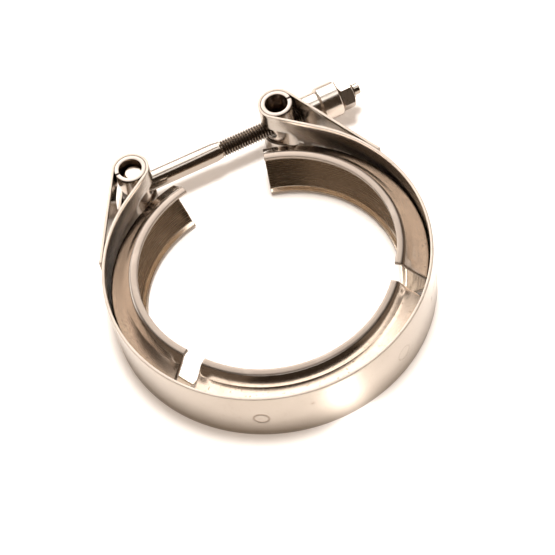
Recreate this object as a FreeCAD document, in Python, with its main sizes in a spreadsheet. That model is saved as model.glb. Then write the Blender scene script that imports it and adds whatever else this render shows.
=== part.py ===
import FreeCAD, Part
import Sketcher
import math
import os

# V band clamp: a folded strip ring with three V-segments, two trunnions, a T-bolt, a sleeve and a nut.
# The ring's axis is Z and its middle plane is Z = 0. The bolt runs along +X on the +Y side of the ring.

doc = FreeCAD.newDocument("v_band_clamp")
sheet = doc.addObject("Spreadsheet::Sheet", "dimensions")

# Lengths in millimetres, angles in degrees. Ring angles are counted from +X towards +Y.
DIMENSIONS = {
    # strip
    "strap_radius": 55.0,
    "strap_thickness": 1.0,
    "strap_width": 22.3,
    "layer_gap": 0.05,
    "lap_angle": 2.5,
    "slot_width": 7.9,
    "slot_reach": 9.0,
    "slot_margin": 0.5,
    "slot_end_flat": 0.5,
    # trunnions; a loop's gap is the clear way between the ring and the inside of its wrap
    "left_loop_gap": 0.87,
    "right_loop_gap": 2.51,
    "bolt_rise": 0.65,
    "trunnion_radius": 5.5,
    "trunnion_wall": 1.5,
    "trunnion_seam": 0.6,
    "trunnion_chamfer": 0.35,
    "trunnion_fit": 0.05,
    "bolt_hole_radius": 3.75,
    # V-segments; a slack is how much less a segment's back radius is than the strip's inner radius
    "segment_thickness": 1.2,
    "side_segment_slack": 5.55,
    "base_segment_slack": 2.15,
    "mouth_angle": 27.0,
    "segment_gap_angle": 2.5,
    "weld_gap": 0.05,
    "left_contact_angle": 177.2,
    "right_contact_angle": -2.4,
    "base_contact_angle": 267.5,
    "back_half_width": 3.1,
    "knee_depth": 5.4,
    "knee_half_width": 7.7,
    "shoulder_depth": 8.0,
    "lip_inset": 0.5,
    "groove_depth": 10.5,
    "bend_radius": 0.8,
    "bend_angle": 49.0,
    # bolt
    "shank_radius": 3.4,
    "thread_radius": 3.1,
    "thread_length": 52.5,
    "thread_tail": 1.2,
    "thread_chamfer": 0.5,
    "point_radius": 2.0,
    "point_length": 2.1,
    "point_chamfer": 0.3,
    "head_radius": 3.4,
    "head_inset": 2.7,
    "head_chamfer": 0.7,
    "head_seat": 0.05,
    # sleeve and nut
    "neck_radius": 5.4,
    "neck_length": 14.8,
    "collar_step": 0.95,
    "collar_length": 7.5,
    "collar_chamfer": 0.8,
    "collar_rear_chamfer": 0.3,
    "sleeve_fit": 0.1,
    "saddle_fit": 0.05,
    "nut_across_flats": 10.0,
    "nut_height": 4.8,
    "nut_chamfer_angle": 30.0,
    "nut_gap": 0.4,
    "nut_turn": -37.0,
    "nut_washer_radius": 4.7,
    "nut_bore_chamfer": 0.4,
    "nut_fit": 0.05,
}


class Size:
    """A number together with the sheet formula that gives it."""

    def __init__(self, value, formula):
        self.value = float(value)
        self.formula = formula

    def combine(self, other, sign):
        other = as_size(other)
        value = {
            "+": self.value + other.value,
            "-": self.value - other.value,
            "*": self.value * other.value,
            "/": self.value / other.value if other.value else 0.0,
        }[sign]
        return Size(value, f"({self.formula} {sign} {other.formula})")

    def __add__(self, other):
        return self.combine(other, "+")

    def __sub__(self, other):
        return self.combine(other, "-")

    def __mul__(self, other):
        return self.combine(other, "*")

    def __truediv__(self, other):
        return self.combine(other, "/")


def as_size(amount):
    return amount if isinstance(amount, Size) else Size(amount, repr(amount))


def root(amount):
    return Size(math.sqrt(amount.value), f"sqrt({amount.formula})")


def ratio(kind, angle):
    # kind is cos, sin or tan, of an angle in degrees
    value = getattr(math, kind)(math.radians(angle.value))
    return Size(value, f"{kind}({angle.formula} * 1 deg)")


zero = Size(0, "0")
degree = Size(math.pi / 180, "(pi / 180)")

size = {}
for row, (alias, amount) in enumerate(DIMENSIONS.items(), start=1):
    sheet.set(f"A{row}", alias)
    sheet.set(f"B{row}", str(amount))
    sheet.setAlias(f"B{row}", alias)
    size[alias] = Size(amount, f"dimensions.{alias}")
doc.recompute()

FORWARD = FreeCAD.Vector(0, 0, 1)
ALONG = FreeCAD.Vector(1, 0, 0)
ORIGIN = (-1, 1)
X_AXIS = -1


def point(x, y):
    return FreeCAD.Vector(x, y, 0)


def polar(radius, angle):
    return point(radius * math.cos(angle), radius * math.sin(angle))


def line(start, end):
    return Part.LineSegment(start, end)


def arc(centre, radius, start_angle, end_angle):
    circle = Part.Circle(centre, FORWARD, radius)
    return Part.ArcOfCircle(circle, start_angle, end_angle)


def bind(feature, name, amount):
    feature.setExpression(name, as_size(amount).formula)


def new_body(label, x=zero, y=zero, turned=0.0, axis=FORWARD):
    body = doc.addObject("PartDesign::Body", label)
    body.Label = label
    place = FreeCAD.Vector(x.value, y.value, 0)
    body.Placement = FreeCAD.Placement(place, FreeCAD.Rotation(axis, turned))
    bind(body, "Placement.Base.x", x)
    bind(body, "Placement.Base.y", y)
    return body


def new_sketch(body, name, role):
    sketch = body.newObject("Sketcher::SketchObject", f"{body.Label}_{name}")
    plane = next(feature for feature in body.Origin.OriginFeatures if feature.Role == role)
    sketch.AttachmentSupport = [(plane, "")]
    sketch.MapMode = "FlatFace"
    return sketch


def new_feature(body, kind, name, sketch):
    feature = body.newObject(f"PartDesign::{kind}", f"{body.Label}_{name}")
    feature.Profile = sketch
    return feature


def pad(body, name, sketch, length):
    feature = new_feature(body, "Pad", name, sketch)
    feature.SideType = "Symmetric"
    bind(feature, "Length", length)
    return feature


def pocket(body, name, sketch, length):
    feature = new_feature(body, "Pocket", name, sketch)
    feature.SideType = "Symmetric"
    bind(feature, "Length", length)
    return feature


def turn(body, kind, name, sketch, axis, angle=360.0):
    feature = new_feature(body, kind, name, sketch)
    feature.ReferenceAxis = (sketch, [axis])
    bind(feature, "Angle", angle)
    return feature


def dress(body, kind, name, base, edges, size_name, amount):
    feature = body.newObject(f"PartDesign::{kind}", f"{body.Label}_{name}")
    feature.Base = (base, edges)
    bind(feature, size_name, amount)
    return feature


def edges_where(feature, wanted):
    doc.recompute()
    found = enumerate(feature.Shape.Edges, start=1)
    return [f"Edge{number}" for number, edge in found if wanted(edge)]


def constrain(sketch, kind, places, amount=None):
    if amount is None:
        sketch.addConstraint(Sketcher.Constraint(kind, *places))
        return
    amount = as_size(amount)
    degrees = kind == "Angle"
    value = math.radians(amount.value) if degrees else amount.value
    index = sketch.addConstraint(Sketcher.Constraint(kind, *places, value))
    formula = f"{amount.formula} * 1 deg" if degrees else amount.formula
    sketch.setExpression(f"Constraints[{index}]", formula)


def join(sketch, first, second, kind="Coincident"):
    # Ties the ends at which two neighbouring edges of an outline meet.
    for first_end in (1, 2):
        for second_end in (1, 2):
            gap = sketch.getPoint(first, first_end) - sketch.getPoint(second, second_end)
            if gap.Length < 1e-6:
                sketch.addConstraint(Sketcher.Constraint(kind, first, first_end, second, second_end))


def guide_circle(sketch, x, y, radius):
    # Construction circle about a place given from the sketch's origin.
    centre = point(x.value, y.value)
    guide = sketch.addGeometry(Part.Circle(centre, FORWARD, radius.value), True)
    constrain(sketch, "DistanceX", (*ORIGIN, guide, 3), x)
    constrain(sketch, "DistanceY", (*ORIGIN, guide, 3), y)
    constrain(sketch, "Radius", (guide,), radius)
    return guide


def round_outline(sketch, radius):
    circle = sketch.addGeometry(Part.Circle(point(0, 0), FORWARD, radius.value), False)
    constrain(sketch, "Coincident", (circle, 3, *ORIGIN))
    constrain(sketch, "Radius", (circle,), radius)


def close_outline(sketch, edges):
    for first, second in zip(edges, edges[1:] + edges[:1]):
        join(sketch, first, second)


def polygon(sketch, corners):
    # Closed outline whose corners lie at the given sheet distances from the sketch's origin.
    places = [point(x.value, y.value) for x, y in corners]
    edges = [
        sketch.addGeometry(line(start, end), False)
        for start, end in zip(places, places[1:] + places[:1])
    ]
    close_outline(sketch, edges)
    for edge, (x, y) in zip(edges, corners):
        constrain(sketch, "DistanceX", (*ORIGIN, edge, 1), x)
        constrain(sketch, "DistanceY", (*ORIGIN, edge, 1), y)
    return edges


# ---------------------------------------------------------------- strip with two folded loops

wrap_inner = size["trunnion_radius"] + size["trunnion_fit"]
wrap_outer = wrap_inner + size["strap_thickness"]
ring_outer = size["strap_radius"]
ring_inner = ring_outer - size["strap_thickness"]
lap_inner = ring_outer + size["layer_gap"]
lap_outer = lap_inner + size["strap_thickness"]
bolt_y = ring_outer + size["bolt_rise"]
slot_corner_radius = (size["slot_width"] - size["slot_end_flat"]) / 2


class Loop:
    """Directions in which one folded end of the strip touches its trunnion and the ring."""

    def __init__(self, gap, side):
        self.side = side
        reach = ring_outer + wrap_inner + gap
        self.x = root(reach * reach - bolt_y * bolt_y) * -side
        self.centre = point(self.x.value, bolt_y.value)
        distance = reach.value
        direction = math.atan2(self.centre.y, self.centre.x)
        inner_lean = math.acos((ring_outer.value + wrap_inner.value) / distance)
        outer_lean = math.acos((lap_inner.value - wrap_inner.value) / distance)
        self.inner_leg = direction + side * inner_lean
        self.outer_leg = direction + side * outer_lean
        self.end = self.outer_leg + side * math.radians(size["lap_angle"].value)

    def wrap_arc(self, radius):
        start, end = self.inner_leg + self.side * math.pi, self.outer_leg
        if self.side < 0:
            start, end = end, start
        while end < start:
            end += 2 * math.pi
        while end - start > 2 * math.pi:
            end -= 2 * math.pi
        return arc(self.centre, radius, start, end)

    def lap_arc(self, radius):
        return arc(point(0, 0), radius, *sorted((self.outer_leg, self.end)))

    def inner_line(self, ring_radius, wrap_radius):
        return line(polar(ring_radius, self.inner_leg), self.centre - polar(wrap_radius, self.inner_leg))

    def outer_line(self, wrap_radius, lap_radius):
        return line(self.centre + polar(wrap_radius, self.outer_leg), polar(lap_radius, self.outer_leg))


LEFT = 1
RIGHT = -1
loops = {
    LEFT: Loop(size["left_loop_gap"], LEFT),
    RIGHT: Loop(size["right_loop_gap"], RIGHT),
}


def strip_face(sketch, ring_radius, wrap_radius, lap_radius):
    # One face of the strip, from its left end round both loops to its right end.
    left, right = loops[LEFT], loops[RIGHT]
    ring = arc(point(0, 0), ring_radius.value, left.inner_leg, right.inner_leg + 2 * math.pi)
    half = {}
    for side, loop in loops.items():
        half[side] = [
            loop.lap_arc(lap_radius.value),
            loop.outer_line(wrap_radius.value, lap_radius.value),
            loop.wrap_arc(wrap_radius.value),
            loop.inner_line(ring_radius.value, wrap_radius.value),
        ]
    run = half[LEFT] + [ring] + half[RIGHT][::-1]
    edges = [sketch.addGeometry(edge, False) for edge in run]
    for first, second in zip(edges, edges[1:]):
        join(sketch, first, second, "Tangent")
    left_lap, left_wrap, ring, right_wrap, right_lap = (edges[number] for number in (0, 2, 4, 6, 8))
    for edge in (left_lap, ring, right_lap):
        constrain(sketch, "Coincident", (edge, 3, *ORIGIN))
    for edge in (left_lap, right_lap):
        constrain(sketch, "Radius", (edge,), lap_radius)
    for edge in (left_wrap, right_wrap):
        constrain(sketch, "Radius", (edge,), wrap_radius)
    constrain(sketch, "Radius", (ring,), ring_radius)
    return edges


def make_outer_band():
    body = new_body("outer_band")
    sketch = new_sketch(body, "outline", "XY_Plane")
    front = strip_face(sketch, ring_outer, wrap_inner, lap_inner)
    back = strip_face(sketch, ring_inner, wrap_outer, lap_outer)
    for place, loop in ((2, loops[LEFT]), (6, loops[RIGHT])):
        constrain(sketch, "Coincident", (front[place], 3, back[place], 3))
        constrain(sketch, "DistanceX", (*ORIGIN, front[place], 3), loop.x)
        constrain(sketch, "DistanceY", (*ORIGIN, front[place], 3), bolt_y)
    for place, loop in ((0, loops[LEFT]), (8, loops[RIGHT])):
        end = line(polar(lap_inner.value, loop.end), polar(lap_outer.value, loop.end))
        cap = sketch.addGeometry(end, False)
        join(sketch, front[place], cap)
        join(sketch, back[place], cap)
        constrain(sketch, "PointOnObject", (*ORIGIN, cap))
        constrain(sketch, "Angle", (front[place],), size["lap_angle"])
    strip = pad(body, "strip", sketch, size["strap_width"])
    for side, name in ((LEFT, "left"), (RIGHT, "right")):
        strip = punch_slot(body, name, loops[side])
    corners = edges_where(strip, is_slot_corner)
    dress(body, "Fillet", "slot_ends", strip, corners, "Radius", slot_corner_radius)


def punch_slot(body, name, loop):
    # The slot runs through both legs of the loop and round the trunnion.
    sketch = new_sketch(body, f"{name}_slot_outline", "XY_Plane")
    margin = size["slot_margin"]
    reach = size["slot_reach"]
    near = wrap_inner - margin
    far = wrap_outer + margin
    inner_run = loop.side * reach.value * polar(1, loop.inner_leg + math.pi / 2)
    outer_run = loop.side * reach.value * polar(1, loop.outer_leg + math.pi / 2)
    inner_near = loop.centre - polar(near.value, loop.inner_leg)
    inner_far = loop.centre - polar(far.value, loop.inner_leg)
    outer_near = loop.centre + polar(near.value, loop.outer_leg)
    outer_far = loop.centre + polar(far.value, loop.outer_leg)
    run = [
        line(inner_near + inner_run, inner_near),
        loop.wrap_arc(near.value),
        line(outer_near, outer_near + outer_run),
        line(outer_near + outer_run, outer_far + outer_run),
        line(outer_far + outer_run, outer_far),
        loop.wrap_arc(far.value),
        line(inner_far, inner_far + inner_run),
        line(inner_far + inner_run, inner_near + inner_run),
    ]
    edges = [sketch.addGeometry(edge, False) for edge in run]
    near_inner, near_wrap, near_outer, outer_end, far_outer, far_wrap, far_inner, inner_end = edges
    for leg, wrap in (
        (near_inner, near_wrap), (near_outer, near_wrap), (far_inner, far_wrap), (far_outer, far_wrap),
    ):
        join(sketch, leg, wrap, "Tangent")
    for leg, end in (
        (near_inner, inner_end), (far_inner, inner_end), (near_outer, outer_end), (far_outer, outer_end),
    ):
        join(sketch, leg, end)
    for wrap, radius in ((near_wrap, near), (far_wrap, far)):
        constrain(sketch, "Radius", (wrap,), radius)
        constrain(sketch, "DistanceX", (*ORIGIN, wrap, 3), loop.x)
        constrain(sketch, "DistanceY", (*ORIGIN, wrap, 3), bolt_y)
    for leg, end, ring_radius in (
        (near_inner, inner_end, ring_outer + margin), (near_outer, outer_end, lap_inner - margin),
    ):
        ring = guide_circle(sketch, zero, zero, ring_radius)
        constrain(sketch, "Tangent", (leg, ring))
        constrain(sketch, "Perpendicular", (leg, end))
        constrain(sketch, "Distance", (leg,), reach)
    constrain(sketch, "Parallel", (near_inner, far_inner))
    constrain(sketch, "Parallel", (near_outer, far_outer))
    return pocket(body, f"{name}_slot", sketch, size["slot_width"])


def is_slot_corner(edge):
    half_width = size["slot_width"].value / 2
    at_side = all(abs(abs(vertex.Z) - half_width) < 1e-4 for vertex in edge.Vertexes)
    return (
        len(edge.Vertexes) == 2
        and at_side
        and isinstance(edge.Curve, Part.Line)
        and abs(edge.Length - size["strap_thickness"].value) < 1e-3
    )


# ---------------------------------------------------------------- V-segments


side_radius = ring_inner - size["side_segment_slack"]
base_radius = ring_inner - size["base_segment_slack"]
lip_half_width = size["strap_width"] / 2 - size["lip_inset"]

# The three channels are of one length. With the mouth and the two gaps they fill the whole turn.
whole_turn = as_size(360) - size["mouth_angle"] - size["segment_gap_angle"] * 2
channel_length = whole_turn * degree / (as_size(2) / side_radius + as_size(1) / base_radius)


def make_segment(label, radius, contact_angle, end_angle, side):
    # A channel with a narrow back, two-step flanks and flat lips, revolved about the segment's own axis.
    # It runs for its length from the end angle, anticlockwise where side is 1 and clockwise where it is -1.
    reach = ring_inner - size["weld_gap"] - radius
    span = channel_length / radius / degree
    start_angle = end_angle if side > 0 else end_angle - span
    x = reach * ratio("cos", contact_angle)
    y = reach * ratio("sin", contact_angle)
    body = new_body(label, x, y, start_angle.value)
    sketch = new_sketch(body, "section", "XZ_Plane")
    thickness = size["segment_thickness"]
    corners = [
        (radius - size["groove_depth"], lip_half_width),
        (radius - size["shoulder_depth"], lip_half_width),
        (radius - size["knee_depth"], size["knee_half_width"]),
        (radius, size["back_half_width"]),
    ]
    outside = [point(x.value, z.value) for x, z in corners]
    outside += [point(place.x, -place.y) for place in reversed(outside)]
    inside = offset_inwards(outside, thickness.value)
    outer_edges = [sketch.addGeometry(line(a, b), False) for a, b in zip(outside, outside[1:])]
    inner_edges = [sketch.addGeometry(line(a, b), False) for a, b in zip(inside, inside[1:])]
    lips = [
        sketch.addGeometry(line(outside[-1], inside[-1]), False),
        sketch.addGeometry(line(inside[0], outside[0]), False),
    ]
    close_outline(sketch, outer_edges + [lips[0]] + inner_edges[::-1] + [lips[1]])
    for edge, (x, z) in zip(outer_edges, corners):
        constrain(sketch, "DistanceX", (*ORIGIN, edge, 1), x)
        constrain(sketch, "DistanceY", (*ORIGIN, edge, 1), z)
    for upper, lower in zip(outer_edges[:3], reversed(outer_edges[4:])):
        constrain(sketch, "Symmetric", (upper, 1, lower, 2, X_AXIS))
    constrain(sketch, "Symmetric", (outer_edges[3], 1, outer_edges[3], 2, X_AXIS))
    for outer_edge, inner_edge in zip(outer_edges, inner_edges):
        constrain(sketch, "Parallel", (outer_edge, inner_edge))
        constrain(sketch, "Distance", (inner_edge, 1, outer_edge), thickness)
    for lip in lips:
        constrain(sketch, "Vertical", (lip,))
    channel = turn(body, "Revolution", "channel", sketch, "V_Axis", span)
    edges, cut = flatten_bends(channel, outside)
    dress(body, "Chamfer", "outer_bends", channel, edges, "Size", cut)


def offset_inwards(outline, distance):
    # The bent sheet's inner face: each straight run moved by the sheet's thickness.
    moved = []
    normals = []
    for start, end in zip(outline, outline[1:]):
        run = (end - start).normalize()
        normals.append(point(run.y, -run.x))
    moved.append(outline[0] + normals[0] * distance)
    for place, before, after in zip(outline[1:], normals, normals[1:]):
        between = (before + after).normalize()
        moved.append(place + between * (distance / between.dot(before)))
    moved.append(outline[-1] + normals[-1] * distance)
    return moved


# The section's corners at the shoulders and the back; the knees between them are slight creases.
SHARP_BENDS = (1, 3, 4, 6)


def flatten_bends(channel, outside):
    # Outside, each bend becomes one flat that touches its round at the middle, so the solid stays light.
    places = [outside[number] for number in SHARP_BENDS]
    edges = edges_where(channel, lambda edge: is_bend(edge, places))
    outer_radius = size["bend_radius"] + size["segment_thickness"]
    share = ratio("tan", size["bend_angle"] / 2) - ratio("tan", size["bend_angle"] / 4)
    return edges, outer_radius * share


def is_bend(edge, places):
    if not isinstance(edge.Curve, Part.Circle):
        return False
    radius, height = edge.Curve.Radius, edge.Curve.Center.z
    return any(abs(radius - place.x) < 1e-3 and abs(height - place.y) < 1e-3 for place in places)


# ---------------------------------------------------------------- trunnions


def make_trunnion(label, x, turned):
    # A rolled split tube with a cross hole for the bolt. Its seam faces away from the other trunnion.
    body = new_body(label, x, bolt_y, turned)
    outer_radius = size["trunnion_radius"]
    inner_radius = outer_radius - size["trunnion_wall"]
    half_seam = size["trunnion_seam"] / 2
    sketch = new_sketch(body, "tube_outline", "XY_Plane")
    ends = {}
    arcs = {}
    for name, radius in (("outer", outer_radius), ("inner", inner_radius)):
        lean = math.asin(half_seam.value / radius.value)
        ends[name] = (polar(radius.value, math.pi - lean), polar(radius.value, math.pi + lean))
        tube = arc(point(0, 0), radius.value, math.pi + lean, 3 * math.pi - lean)
        arcs[name] = sketch.addGeometry(tube, False)
        constrain(sketch, "Coincident", (arcs[name], 3, *ORIGIN))
        constrain(sketch, "Radius", (arcs[name],), radius)
    upper, lower = (
        sketch.addGeometry(line(ends["outer"][number], ends["inner"][number]), False)
        for number in (0, 1)
    )
    close_outline(sketch, [arcs["outer"], upper, arcs["inner"], lower])
    for seam in (upper, lower):
        constrain(sketch, "Horizontal", (seam,))
    constrain(sketch, "DistanceY", (*ORIGIN, upper, 1), half_seam)
    constrain(sketch, "DistanceY", (lower, 1, *ORIGIN), half_seam)
    tube = pad(body, "tube", sketch, size["strap_width"])
    hole = new_sketch(body, "bolt_hole_outline", "YZ_Plane")
    round_outline(hole, size["bolt_hole_radius"])
    drilled = pocket(body, "bolt_hole", hole, outer_radius * 3)
    rims = edges_where(drilled, is_rim)
    dress(body, "Chamfer", "rims", drilled, rims, "Size", size["trunnion_chamfer"])


def is_rim(edge):
    if not isinstance(edge.Curve, Part.Circle):
        return False
    half_width = size["strap_width"].value / 2
    return abs(abs(edge.Curve.Center.z) - half_width) < 1e-6


# ---------------------------------------------------------------- T-bolt, sleeve and nut

bolt_x = loops[LEFT].x
sleeve_x = loops[RIGHT].x
sleeve_end = size["neck_length"] + size["collar_length"]
nut_x = sleeve_x + sleeve_end + size["nut_gap"]
thread_end = nut_x + size["nut_height"] + size["thread_tail"] - bolt_x
head_length = size["strap_width"] - size["head_inset"] * 2
bore_radius = size["trunnion_radius"] - size["trunnion_wall"]
head_shift = bore_radius - size["head_radius"] - size["head_seat"]


def make_tee_bolt():
    body = new_body("tee_bolt", bolt_x, bolt_y)
    sketch = new_sketch(body, "shank_profile", "XY_Plane")
    shank = size["shank_radius"]
    thread = size["thread_radius"]
    chamfer = size["thread_chamfer"]
    end = thread_end
    start = end - size["thread_length"]
    tip = end + size["point_length"]
    nose = size["point_radius"]
    nose_chamfer = size["point_chamfer"]
    polygon(sketch, [
        (head_shift, zero),
        (head_shift, shank),
        (start, shank),
        (start + chamfer, thread),
        (end - chamfer, thread),
        (end, thread - chamfer),
        (end, nose),
        (tip - nose_chamfer, nose),
        (tip, nose - nose_chamfer),
        (tip, zero),
    ])
    turn(body, "Revolution", "shank", sketch, "H_Axis")
    head = new_sketch(body, "head_outline", "XY_Plane")
    circle = head.addGeometry(
        Part.Circle(point(head_shift.value, 0), FORWARD, size["head_radius"].value), False
    )
    constrain(head, "DistanceX", (*ORIGIN, circle, 3), head_shift)
    constrain(head, "PointOnObject", (circle, 3, X_AXIS))
    constrain(head, "Radius", (circle,), size["head_radius"])
    tee = pad(body, "head", head, head_length)
    ends = edges_where(tee, is_head_end)
    dress(body, "Chamfer", "head_ends", tee, ends, "Size", size["head_chamfer"])


def is_head_end(edge):
    if not isinstance(edge.Curve, Part.Circle):
        return False
    return abs(abs(edge.Curve.Center.z) - head_length.value / 2) < 1e-6


def make_shoulder_sleeve():
    # The origin is the right trunnion's centre. The neck's end is cut to lie on the loop's outer leg.
    body = new_body("shoulder_sleeve", sleeve_x, bolt_y)
    bore = size["thread_radius"] + size["sleeve_fit"]
    neck = size["neck_radius"]
    collar = neck + size["collar_step"]
    shoulder = size["neck_length"]
    front = size["collar_chamfer"]
    rear = size["collar_rear_chamfer"]
    sketch = new_sketch(body, "profile", "XY_Plane")
    polygon(sketch, [
        (zero, bore),
        (zero, neck),
        (shoulder, neck),
        (shoulder, collar - front),
        (shoulder + front, collar),
        (sleeve_end - rear, collar),
        (sleeve_end, collar - rear),
        (sleeve_end, bore),
    ])
    turn(body, "Revolution", "turning", sketch, "H_Axis")
    cut_saddle(body, neck)


def cut_saddle(body, neck):
    # Everything on the ring's side of the loop's outer face goes: the leg's plane and the wrap's round.
    loop = loops[RIGHT]
    fit = size["saddle_fit"]
    seat = wrap_outer + fit
    room = neck * 3
    touch = polar(seat.value, loop.outer_leg)
    along = polar(room.value, loop.outer_leg - math.pi / 2)
    inwards = polar(room.value, loop.outer_leg + math.pi)
    sketch = new_sketch(body, "leg_outline", "XY_Plane")
    places = [touch, touch + along, touch + along + inwards, touch + inwards]
    leg, far, back, near = edges = [
        sketch.addGeometry(line(start, end), False)
        for start, end in zip(places, places[1:] + places[:1])
    ]
    close_outline(sketch, edges)
    wrap = guide_circle(sketch, zero, zero, seat)
    ring = guide_circle(sketch, loop.x * -1, bolt_y * -1, lap_outer + fit)
    constrain(sketch, "Tangent", (leg, ring))
    constrain(sketch, "Tangent", (leg, 1, wrap))
    constrain(sketch, "Perpendicular", (leg, far))
    constrain(sketch, "Perpendicular", (far, back))
    constrain(sketch, "Perpendicular", (back, near))
    for side in (leg, near):
        constrain(sketch, "Distance", (side,), room)
    pocket(body, "leg_seat", sketch, room)
    round_sketch = new_sketch(body, "wrap_outline", "XY_Plane")
    round_outline(round_sketch, seat)
    pocket(body, "wrap_seat", round_sketch, room)


def make_hex_nut():
    # The origin is the middle of the nut's inner face, on the bolt's axis.
    body = new_body("hex_nut", nut_x, bolt_y, size["nut_turn"].value, ALONG)
    height = size["nut_height"]
    half_flats = size["nut_across_flats"] / 2
    bore = size["thread_radius"] + size["nut_fit"]
    corner = half_flats.value / math.cos(math.radians(30))
    sketch = new_sketch(body, "hexagon", "YZ_Plane")
    places = [polar(corner, math.radians(60 * number + 30)) for number in range(6)]
    sides = [
        sketch.addGeometry(line(start, end), False)
        for start, end in zip(places, places[1:] + places[:1])
    ]
    close_outline(sketch, sides)
    guide = sketch.addGeometry(Part.Circle(point(0, 0), FORWARD, half_flats.value), True)
    constrain(sketch, "Coincident", (guide, 3, *ORIGIN))
    constrain(sketch, "Radius", (guide,), half_flats)
    for side in sides:
        constrain(sketch, "Tangent", (side, guide))
    for side, neighbour in zip(sides, sides[1:]):
        constrain(sketch, "Equal", (side, neighbour))
    constrain(sketch, "Vertical", (sides[5],))
    prism = new_feature(body, "Pad", "prism", sketch)
    bind(prism, "Length", height)
    chamfer_corners(body, half_flats, height)
    hole = new_sketch(body, "bore_outline", "YZ_Plane")
    round_outline(hole, bore)
    drilled = pocket(body, "bore", hole, height * 3)
    mouths = edges_where(drilled, lambda edge: is_circle_of(edge, bore.value))
    dress(body, "Chamfer", "bore_mouths", drilled, mouths, "Size", size["nut_bore_chamfer"])


def chamfer_corners(body, half_flats, height):
    # Turned chamfers take the hexagon's corners off at both ends, down to the washer circle.
    slope = ratio("tan", size["nut_chamfer_angle"])
    washer = size["nut_washer_radius"]
    outside = half_flats * 1.3
    depth = (outside - washer) * slope
    for name, face, inner_end in (("inner", zero, depth), ("outer", height, height - depth)):
        sketch = new_sketch(body, f"{name}_chamfer_profile", "XY_Plane")
        polygon(sketch, [(face, washer), (face, outside), (inner_end, outside)])
        turn(body, "Groove", f"{name}_corner_chamfer", sketch, "H_Axis")


def is_circle_of(edge, radius):
    return isinstance(edge.Curve, Part.Circle) and abs(edge.Curve.Radius - radius) < 1e-6


# ---------------------------------------------------------------- the clamp

make_outer_band()
half_base = channel_length / base_radius / degree / 2
base_contact = size["base_contact_angle"]
gap_angle = size["segment_gap_angle"]
base_start = base_contact - half_base
base_end = base_contact + half_base
make_segment("base_segment", base_radius, base_contact, base_start, 1)
make_segment("left_segment", side_radius, size["left_contact_angle"], base_start - gap_angle, -1)
make_segment("right_segment", side_radius, size["right_contact_angle"], base_end + gap_angle, 1)
make_trunnion("left_trunnion", loops[LEFT].x, 0)
make_trunnion("right_trunnion", loops[RIGHT].x, 180)
make_tee_bolt()
make_shoulder_sleeve()
make_hex_nut()
doc.recompute()

for feature in doc.Objects:
    if "Invalid" in feature.State or "Error" in feature.State:
        raise RuntimeError(f"{feature.Name} failed: {feature.State}")

bodies = [feature for feature in doc.Objects if feature.TypeId == "PartDesign::Body"]
for body in bodies:
    if body.Shape.isNull() or not body.Shape.isValid() or len(body.Shape.Solids) != 1:
        raise RuntimeError(f"{body.Label} has no single valid solid")

os.makedirs("parts", exist_ok=True)
for body in bodies:
    body.Shape.exportStep(f"parts/{body.Label}.step")
    print(body.Label, round(body.Shape.Volume, 2))
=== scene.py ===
import math

import bmesh
import bpy
import numpy as np
from mathutils import Matrix, Vector


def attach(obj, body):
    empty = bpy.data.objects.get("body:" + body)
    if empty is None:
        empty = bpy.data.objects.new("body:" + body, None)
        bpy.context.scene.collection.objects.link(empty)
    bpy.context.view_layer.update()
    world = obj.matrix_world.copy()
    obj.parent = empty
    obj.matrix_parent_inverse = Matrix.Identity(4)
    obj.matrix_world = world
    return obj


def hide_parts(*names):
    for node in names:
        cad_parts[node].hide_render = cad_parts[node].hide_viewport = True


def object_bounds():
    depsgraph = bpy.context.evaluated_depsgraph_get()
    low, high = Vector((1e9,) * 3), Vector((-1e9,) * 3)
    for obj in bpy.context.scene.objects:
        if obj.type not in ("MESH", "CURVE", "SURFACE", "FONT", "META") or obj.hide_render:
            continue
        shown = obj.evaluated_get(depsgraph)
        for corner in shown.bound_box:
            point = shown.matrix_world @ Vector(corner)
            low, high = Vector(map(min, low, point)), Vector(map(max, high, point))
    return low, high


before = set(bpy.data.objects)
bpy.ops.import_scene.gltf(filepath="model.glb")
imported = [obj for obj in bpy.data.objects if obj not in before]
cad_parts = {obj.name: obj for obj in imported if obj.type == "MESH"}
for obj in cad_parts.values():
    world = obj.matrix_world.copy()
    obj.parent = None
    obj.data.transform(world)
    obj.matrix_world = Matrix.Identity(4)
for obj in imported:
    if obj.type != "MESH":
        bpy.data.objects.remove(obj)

cadLow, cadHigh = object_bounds()
mm = 0.001
flatScale = 0.01  # 1 mm of flat sheet, as measured in its sheetMap
# All sizes are in mm and degrees. Places along the bolt count from the left trunnion's axis.
print("frame loaded:", len(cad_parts), "nodes")


# A bent sheet's middle line is a path of straight runs and tangent arcs

def polar(radius, angle):
    return np.array((radius * math.cos(angle), radius * math.sin(angle)))


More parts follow.
